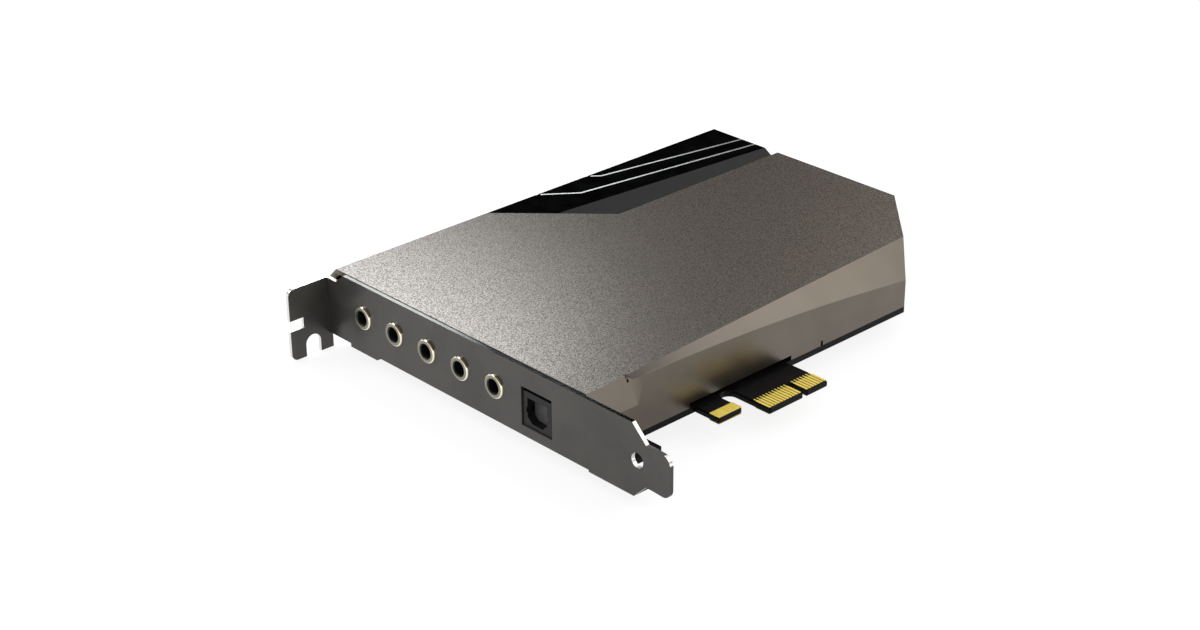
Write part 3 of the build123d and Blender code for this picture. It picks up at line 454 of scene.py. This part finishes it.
for edge in cover.data.edges:
    ends = [cover.data.vertices[number].co for number in edge.vertices]
    inward = [end.y - cover_low.y for end in ends]
    down = [cover_high.z - end.z for end in ends]
    on_facet_top = max(down) < hair and facet_near < min(inward) and max(inward) < facet_far
    on_wall = max(inward) < hair and max(down) < facet_drop
    along_wall = abs(ends[0].x - ends[1].x) > abs(ends[0].z - ends[1].z)
    by_plate = max(inward) < small_facet_depth and all(end.x < small_facet_end for end in ends)
    slight_only = creases[slight][edge.index] and not creases[full][edge.index]
    if on_facet_top or (by_plate and slight_only):
        edge.use_edge_sharp = True
    elif on_wall and along_wall and ends[0].x > roll_start:
        share = (ends[0].x - roll_start) / roll_length
        ease_weights.data[edge.index].value = 1 - share * (1 - far_ease / widest_ease)
    elif creases[full][edge.index]:
        ease_weights.data[edge.index].value = plain_ease / widest_ease
ease_edges(cover, widest_ease, segments=3, limit="WEIGHT")
flat_top = 0.9995
for face in cover.data.polygons:
    if face.normal.z > flat_top and face.center.z > cover_high.z - hair:
        face.material_index = blasted_slot
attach(cover, "card")
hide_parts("cover")


# Corner insert
# A moulded shell in gloss black that closes the cover's outer corner, polished in the mould. It
# snaps into the cover, and its sloped edge leaves a dark valley beside the cover's wall.
gloss_black = make_finish(
    "gloss_black_abs", "020202", "060606", patch_mm=5.0, smooth=0.03, rough=0.07, Specular_IOR_Level=0.17
)
insert = merged_copy("corner_insert", "insert_shell")
ease_edges(insert, ease_mm=0.1, sharp_degrees=20.0)
insert.data.materials.append(gloss_black)
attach(insert, "card")
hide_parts("corner_insert")


# Light guides
# Two strips of milky acrylic pressed into the insert's grooves. They scatter light all through,
# so they look white and soft even when the lamps below are off. Their greyer far end is painted shade.
milky = make_finish(
    "milky_acrylic", "C4C4C2", "D4D4D2", patch_mm=1.5, smooth=0.33, rough=0.37, IOR=1.49
)
far_shade_share = 0.3
guide_low, guide_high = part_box("light_guide_long")
tree = milky.node_tree
place = add_node(tree, "ShaderNodeTexCoord").outputs["Object"]
along = add_node(tree, "ShaderNodeSeparateXYZ", {"Vector": place})
# Painted shade: the colour darkens along the strip towards the far end
painted_far_shade = add_node(
    tree,
    "ShaderNodeMapRange",
    {
        "Value": along.outputs["X"],
        "From Min": guide_low.x,
        "From Max": guide_high.x,
        "To Min": 1.0,
        "To Max": far_shade_share,
    },
)
milk = tree.nodes["Principled BSDF"].inputs["Base Color"]
shaded_milk = add_node(
    tree,
    "ShaderNodeVectorMath",
    {0: milk.links[0].from_socket, "Scale": painted_far_shade.outputs["Result"]},
    operation="SCALE",
)
tree.links.new(shaded_milk.outputs["Vector"], milk)
for name in ("light_guide_long", "light_guide_short"):
    nodes[name].data.materials[0] = milky


# Screws
# Zinc-plated steel pan heads with a six-sided drive, passivated to a dark half shine: four hold the
# cover from below, and one holds the bracket's lug through the board's ear.
black_plate = make_finish(
    "black_zinc_plate", "26272A", "34353A", patch_mm=0.8, smooth=0.25, rough=0.4, metallic=1.0
)
for name in ("cover_screws", "bracket_screw"):
    screws = merged_copy(name, name + "_eased")
    ease_edges(screws, ease_mm=0.18, segments=3, sharp_degrees=40.0)
    screws.data.materials.append(black_plate)
    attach(screws, "card")
    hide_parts(name)


# Jacks
# Each jack is a turned brass ferrule in pale gold plate, which clamps the bracket's plate, and a
# black nylon body behind it, whose lining shows in the bore, with one bronze contact strip.

# The ferrule's lip is polished and fully rounded, so it mirrors the lamps
pale_gold = make_finish(
    "polished_pale_gold", "FAF2D8", "FFF9E6", patch_mm=0.8, smooth=0.04, rough=0.08, metallic=1.0
)

# Fine turning lines leave its flat face soft, and its darker grey is painted shade on the same gold
shaded_face_gold = make_finish(
    "turned_gold_painted_shade", "8E897B", "9C9789", patch_mm=0.25, smooth=0.24, rough=0.34, metallic=1.0
)

# Nylon takes the mould's fine texture and stays a dull black
black_nylon = make_finish(
    "black_nylon", "0D0D0E", "161617", patch_mm=1.2, smooth=0.46, rough=0.54, IOR=1.53, grit=(0.3, 0.01)
)

# Rolled bronze strip is brown and half bright
bronze = make_finish(
    "phosphor_bronze_strip", "A9793F", "C9985A", patch_mm=0.8, smooth=0.27, rough=0.33, metallic=1.0
)

# The ferrule's turned outline in millimetres, as places along its axis from the plate's face and
# radii. It is spun out ring by ring from a circle.
bore, sleeve, ring = 1.8, 2.55, 3.05
mouth, proud, length = 0.25, ferrule_proud / mm, 3.5
rounding = 0.45
round_steps = 5
ring_points = 96
outline = [(length, bore), (length, sleeve), (0.0, sleeve), (0.0, ring)]
for step in range(round_steps + 1):
    turn = radians(90 * step / round_steps)
    outline.append((-proud + rounding * (1 - sin(turn)), ring - rounding * (1 - cos(turn))))
outline += [(-proud, bore + mouth), (-proud + mouth, bore), (length, bore)]
first_low, first_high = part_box("jack_ferrule_1")
axis_y, axis_z = (first_low.y + first_high.y) / 2, (first_low.z + first_high.z) / 2
bpy.ops.object.select_all(action="DESELECT")
bpy.ops.mesh.primitive_circle_add(
    vertices=ring_points,
    radius=outline[0][1] * mm,
    location=(plate_face + outline[0][0] * mm, axis_y, axis_z),
    rotation=(0, radians(90), 0),
)
turned = bpy.context.active_object
bpy.ops.object.transform_apply(location=True, rotation=True, scale=True)
bpy.ops.object.mode_set(mode="EDIT")
bpy.ops.mesh.select_mode(type="EDGE")
bpy.ops.mesh.select_all(action="SELECT")
for (from_x, from_radius), (to_x, to_radius) in zip(outline, outline[1:]):
    spot = (plate_face + from_x * mm, axis_y, axis_z)
    bpy.ops.mesh.extrude_region_move(TRANSFORM_OT_translate={"value": ((to_x - from_x) * mm, 0, 0)})
    growth = to_radius / from_radius
    bpy.ops.transform.resize(value=(1, growth, growth), center_override=spot)
bpy.ops.mesh.select_all(action="SELECT")
bpy.ops.mesh.remove_doubles(threshold=weld)
bpy.ops.mesh.normals_make_consistent(inside=False)
bpy.ops.object.mode_set(mode="OBJECT")
ferrule_crease = 28
bpy.ops.object.shade_smooth_by_angle(angle=radians(ferrule_crease))
for finish in (pale_gold, black_nylon, shaded_face_gold):
    turned.data.materials.append(finish)
lining_slot, face_slot = 1, 2
square_on, sloping = 0.98, 0.9
for face in turned.data.polygons:
    out = face.center - Vector((face.center.x, axis_y, axis_z))
    # The flat face takes the darker gold as painted shade
    if face.normal.x < -square_on:
        face.material_index = face_slot
    elif out.length < (bore + mouth) * mm and abs(face.normal.x) < sloping:
        face.material_index = lining_slot

jack_count = 5
for number in range(1, jack_count + 1):
    name = f"jack_ferrule_{number}"
    from_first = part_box(name)[0].y - first_low.y
    ferrule = turned
    if number > 1:
        ferrule = turned.copy()
        ferrule.data = turned.data.copy()
        bpy.context.collection.objects.link(ferrule)
        ferrule.data.transform(Matrix.Translation((0, from_first, 0)))
    ferrule.name = name + "_turned"
    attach(ferrule, "card")
    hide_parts(name)
    nodes[f"jack_body_{number}"].data.materials[0] = black_nylon
nodes["jack_contacts"].data.materials[0] = bronze


# Optical port
# A moulded black housing with a keyed mouth. A grey flap hangs on two trunnions behind the mouth,
# a wire spring keeps it shut, and a moulded light source closes the back.

# Both plastics took a fine spark texture from the mould, which softens their shine
port_black = make_finish(
    "moulded_black_abs",
    "121213",
    "1A1A1B",
    patch_mm=2.0,
    smooth=0.4,
    rough=0.46,
    Specular_IOR_Level=0.3,
    grit=(0.2, 0.006),
)
flap_grey = make_finish(
    "moulded_grey_abs",
    "606062",
    "6A6A6C",
    patch_mm=2.0,
    smooth=0.38,
    rough=0.44,
    Specular_IOR_Level=0.3,
    grit=(0.2, 0.006),
)
port = merged_copy("optical_housing", "port_housing")
ease_edges(port, ease_mm=0.1)
port.data.materials.append(port_black)
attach(port, "card")
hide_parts("optical_housing")

flap = merged_copy("optical_shutter", "shutter_flap")
ease_edges(flap, ease_mm=0.06, sharp_degrees=35.0)
flap.data.materials.append(flap_grey)
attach(flap, "shutter")
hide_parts("optical_shutter")

# Drawn wire is smooth and bright
spring_wire = make_finish(
    "bright_spring_wire", "B4B4B2", "D2D2D0", patch_mm=0.4, smooth=0.2, rough=0.26, metallic=1.0
)
nodes["shutter_spring"].data.materials[0] = spring_wire
nodes["optical_transmitter"].data.materials[0] = port_black


# Parts on the board
# Moulded chips, relays, film and electrolytic capacitors, chokes and chip parts, all soldered to
# the component face under the cover. The mouldings are dull, the cases half shiny and the cans
# bright. Each finish has its two colours, patch size, smooth and rough ends and metal share.
chips = ("audio_processor", "output_converter", "input_converter", "headphone_amplifiers")
small_chips = ("flash_memory", "op_amps", "voltage_regulators")
cans = ("signal_capacitors", "power_capacitors", "clock_crystals")
chip_parts = ("chip_resistors", "chip_capacitors")
inner_finishes = {
    "epoxy_moulded_chip": (("17171A", "222226", 0.6, 0.46, 0.54, 0.0), chips + small_chips),
    "pale_relay_case": (("CFCBC0", "DEDBD2", 1.5, 0.36, 0.44, 0.0), ("output_relays",)),
    "red_film_case": (("8E1B12", "A3241A", 1.2, 0.26, 0.34, 0.0), ("film_capacitors",)),
    "drawn_aluminium_can": (("B5B6B8", "C9CACC", 0.9, 0.26, 0.34, 1.0), cans),
    "pressed_ferrite": (("3A3A3D", "48484C", 0.5, 0.55, 0.65, 0.0), ("inductors",)),
    "fired_ceramic": (("6F5B45", "8C7458", 0.4, 0.4, 0.5, 0.0), chip_parts),
    "white_lamp_case": (("DCD8C8", "F0EDDF", 0.7, 0.32, 0.38, 0.0), ("light_diodes",)),
    "tin_solder": (("B9BABB", "D6D7D8", 0.5, 0.22, 0.3, 1.0), ("solder_joints",)),
}
for finish, (recipe, members) in inner_finishes.items():
    material = make_finish(finish, *recipe)
    for name in members:
        nodes[name].data.materials[0] = material


# Floor
# A plain pale floor under the card. To the eye it is white paper with the card's soft shadow. In
# the card's metal it is whitest in front and carries painted shade: duller close by, and dullest
# behind the bracket's tongue.
floor_low = cad_box[0][2]
floor_size = 8.0
eye_white, paper_grey = 0.87, 0.16
front_white, near_white, shade_white = 1.3, 0.76, 0.5
front_y, near_y = -120 * mm, -30 * mm
shade_middle = Vector((plate_face + 25 * mm, 0, 0))
shade_inner, shade_outer = 10 * mm, 45 * mm
bpy.ops.object.select_all(action="DESELECT")
bpy.ops.mesh.primitive_plane_add(size=floor_size, location=(0, 0, floor_low))
floor = bpy.context.active_object
floor.name = "floor"
paper = bpy.data.materials.new("white_paper")
paper.use_nodes = True
tree = paper.node_tree
tree.nodes.clear()
ray = add_node(tree, "ShaderNodeLightPath")
mirrored = add_node(
    tree,
    "ShaderNodeMath",
    {0: ray.outputs["Is Glossy Ray"], 1: ray.outputs["Is Transmission Ray"]},
    operation="MAXIMUM",
)
spot = add_node(tree, "ShaderNodeTexCoord").outputs["Object"]
spot_axes = add_node(tree, "ShaderNodeSeparateXYZ", {"Vector": spot})
from_shade = add_node(tree, "ShaderNodeVectorMath", {0: spot, 1: shade_middle}, operation="DISTANCE")
# Painted shade on the floor as the metal mirrors it, close to the card and behind the tongue
painted_close_shade = add_node(
    tree,
    "ShaderNodeMapRange",
    {
        "Value": from_shade.outputs["Value"],
        "From Min": shade_inner,
        "From Max": shade_outer,
        "To Min": shade_white,
        "To Max": near_white,
    },
)
shine = add_node(
    tree,
    "ShaderNodeMapRange",
    {
        "Value": spot_axes.outputs["Y"],
        "From Min": front_y,
        "From Max": near_y,
        "To Min": front_white,
        "To Max": painted_close_shade.outputs["Result"],
    },
)
in_mirrors = add_node(
    tree,
    "ShaderNodeMath",
    {0: mirrored.outputs["Value"], 1: shine.outputs["Result"]},
    operation="MULTIPLY",
)
glow = add_node(
    tree,
    "ShaderNodeMath",
    {0: ray.outputs["Is Camera Ray"], 1: eye_white, 2: in_mirrors.outputs["Value"]},
    operation="MULTIPLY_ADD",
)
own_white = add_node(tree, "ShaderNodeEmission", {"Strength": glow.outputs["Value"]})
lit = add_node(tree, "ShaderNodeBsdfDiffuse", {"Color": (paper_grey, paper_grey, paper_grey, 1)})
both = add_node(tree, "ShaderNodeAddShader", {0: own_white.outputs["Emission"], 1: lit.outputs["BSDF"]})
add_node(tree, "ShaderNodeOutputMaterial", {"Surface": both.outputs["Shader"]})
floor.data.materials.append(paper)


# Studio
# A long softbox hangs level and close behind the card, a wide one at the right lights the facets,
# and a small one at the left glints in the ferrules. The room is white at the card's height and dim
# and warm above, and a black card behind keeps the gloss corner dark.
def direction(azimuth, elevation):
    turn, lift = radians(azimuth), radians(elevation)
    return Vector((sin(turn) * cos(lift), cos(turn) * cos(lift), sin(lift)))


# A softbox faces a point from an azimuth and an elevation in degrees. Its brightness is how white
# it looks in a mirror, where 1 is plain white.
def softbox(name, middle, azimuth, elevation, distance, width, height, brightness, colour=(1, 1, 1)):
    spot = middle + direction(azimuth, elevation) * distance
    aim = (middle - spot).to_track_quat("-Z", "Y").to_euler()
    bpy.ops.object.light_add(type="AREA", location=spot, rotation=aim)
    lamp = bpy.context.active_object
    lamp.name = name
    lamp.visible_camera = False
    lamp.data.color = colour
    lamp.data.shape = "RECTANGLE"
    lamp.data.size = width
    lamp.data.size_y = height
    lamp.data.energy = brightness * pi * width * height


card_middle = (cover_low + cover_high) / 2
behind_card = Vector((18 * mm, 209 * mm, cover_high.z))
softbox(
    "softbox_behind",
    behind_card,
    azimuth=0,
    elevation=90,
    distance=0.1,
    width=0.067,
    height=0.185,
    brightness=6.7,
    colour=(0.9, 1, 1.1),
)
softbox(
    "softbox_right",
    card_middle,
    azimuth=105,
    elevation=42,
    distance=0.9,
    width=1.4,
    height=0.6,
    brightness=1.8,
)
softbox(
    "softbox_left",
    card_middle,
    azimuth=-36,
    elevation=40,
    distance=0.9,
    width=0.4,
    height=0.3,
    brightness=5.0,
)

white_wall, warm_ceiling = (1.45, 1.45, 1.45, 1), (0.12, 0.1, 0.075, 1)
soft_fill, plain_white = (0.8, 0.8, 0.8, 1), (1, 1, 1, 1)
wall_rise, ceiling_rise = 0.1, 0.34
black_card_way = direction(46, 20)
black_card_inner, black_card_outer = radians(20), radians(56)
black_card_share = 0.03
room = bpy.data.worlds.new("studio_room")
bpy.context.scene.world = room
room.use_nodes = True
tree = room.node_tree
tree.nodes.clear()
ray = add_node(tree, "ShaderNodeLightPath")
way = add_node(tree, "ShaderNodeTexCoord").outputs["Generated"]
way_axes = add_node(tree, "ShaderNodeSeparateXYZ", {"Vector": way})
above = add_node(
    tree,
    "ShaderNodeMapRange",
    {"Value": way_axes.outputs["Z"], "From Min": wall_rise, "From Max": ceiling_rise},
    interpolation_type="SMOOTHSTEP",
)
walls = add_node(
    tree,
    "ShaderNodeMixRGB",
    {"Fac": above.outputs["Result"], "Color1": white_wall, "Color2": warm_ceiling},
)
towards_card = add_node(tree, "ShaderNodeVectorMath", {0: way, 1: black_card_way}, operation="DOT_PRODUCT")
black_card = add_node(
    tree,
    "ShaderNodeMapRange",
    {
        "Value": towards_card.outputs["Value"],
        "From Min": cos(black_card_outer),
        "From Max": cos(black_card_inner),
        "To Min": 1.0,
        "To Max": black_card_share,
    },
    interpolation_type="SMOOTHSTEP",
)
mirrored_room = add_node(
    tree,
    "ShaderNodeVectorMath",
    {0: walls.outputs["Color"], "Scale": black_card.outputs["Result"]},
    operation="SCALE",
)
mirrored = add_node(
    tree,
    "ShaderNodeMath",
    {0: ray.outputs["Is Glossy Ray"], 1: ray.outputs["Is Transmission Ray"]},
    operation="MAXIMUM",
)
on_card = add_node(
    tree,
    "ShaderNodeMixRGB",
    {"Fac": mirrored.outputs["Value"], "Color1": soft_fill, "Color2": mirrored_room.outputs["Vector"]},
)
seen = add_node(
    tree,
    "ShaderNodeMixRGB",
    {"Fac": ray.outputs["Is Camera Ray"], "Color1": on_card.outputs["Color"], "Color2": plain_white},
)
sky = add_node(tree, "ShaderNodeBackground", {"Color": seen.outputs["Color"]})
add_node(tree, "ShaderNodeOutputWorld", {"Surface": sky.outputs["Background"]})


# Camera
# Set where the photograph was taken from, as worked out from the bracket's and the contact edge's
# standard sizes.
camera_place = Vector((-345.80, -299.99, 245.72)) * mm
azimuth, elevation, roll = -43.1356, 26.3595, -0.393
camera_turn = Matrix.Rotation(radians(azimuth), 4, "Z")
camera_tilt = Matrix.Rotation(radians(90 - elevation), 4, "X")
camera_roll = Matrix.Rotation(radians(roll), 4, "Z")
bpy.ops.object.camera_add()
camera = bpy.context.active_object
camera.matrix_world = Matrix.Translation(camera_place) @ camera_turn @ camera_tilt @ camera_roll
camera.data.sensor_width = 36.0
camera.data.lens = 67.31
camera.data.clip_start = 0.01
bpy.context.scene.camera = camera
bpy.context.scene.view_settings.view_transform = "Standard"
